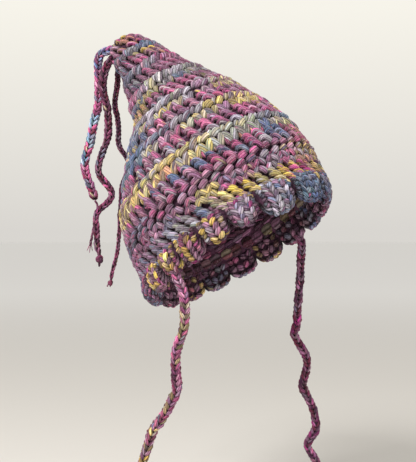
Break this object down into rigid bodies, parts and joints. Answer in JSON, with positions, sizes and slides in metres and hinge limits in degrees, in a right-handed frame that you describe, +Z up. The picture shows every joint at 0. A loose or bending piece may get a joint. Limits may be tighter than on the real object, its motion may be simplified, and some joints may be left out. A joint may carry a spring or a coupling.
{
  "type": "pixie hood",
  "caption": "Crocheted cone-shaped hood with a leaning peak, a puffed scalloped edge, a tie at each ear and strings hanging from the peak.",
  "frame": {"origin": "middle of the head opening, in the plane of the crown's lower edge, where the head sits", "axes": "+Z up as worn, the wearer faces -Y, the wearer's right side is -X; the crown leans back towards +Y"},
  "size_m": [0.2503, 0.3105, 0.5226],
  "materials": {
    "crown_wool": "bulky space-dyed wool yarn in mauve, magenta, grey, blue, sage and yellow, crocheted in rounds of thick posts and ridges",
    "edge_wool": "the same yarn worked into puffed scallops",
    "tie_wool": "the same yarn in a flat crocheted braid, mostly plum and pink",
    "string_wool": "the same yarn in round crocheted chains, plum, mauve and blue"
  },
  "bodies": {
    "root": {"crown_shell": "crown_wool", "scallop_edge": "edge_wool", "tie_right": "tie_wool", "tie_right_knot": "tie_wool", "tie_left": "tie_wool", "tie_left_knot": "tie_wool", "peak_string_a": "string_wool", "peak_string_a_tail": "string_wool", "peak_string_b": "string_wool", "peak_string_b_knot": "string_wool", "peak_string_c": "string_wool", "peak_string_c_knot": "string_wool"}
  },
  "joints": []
}
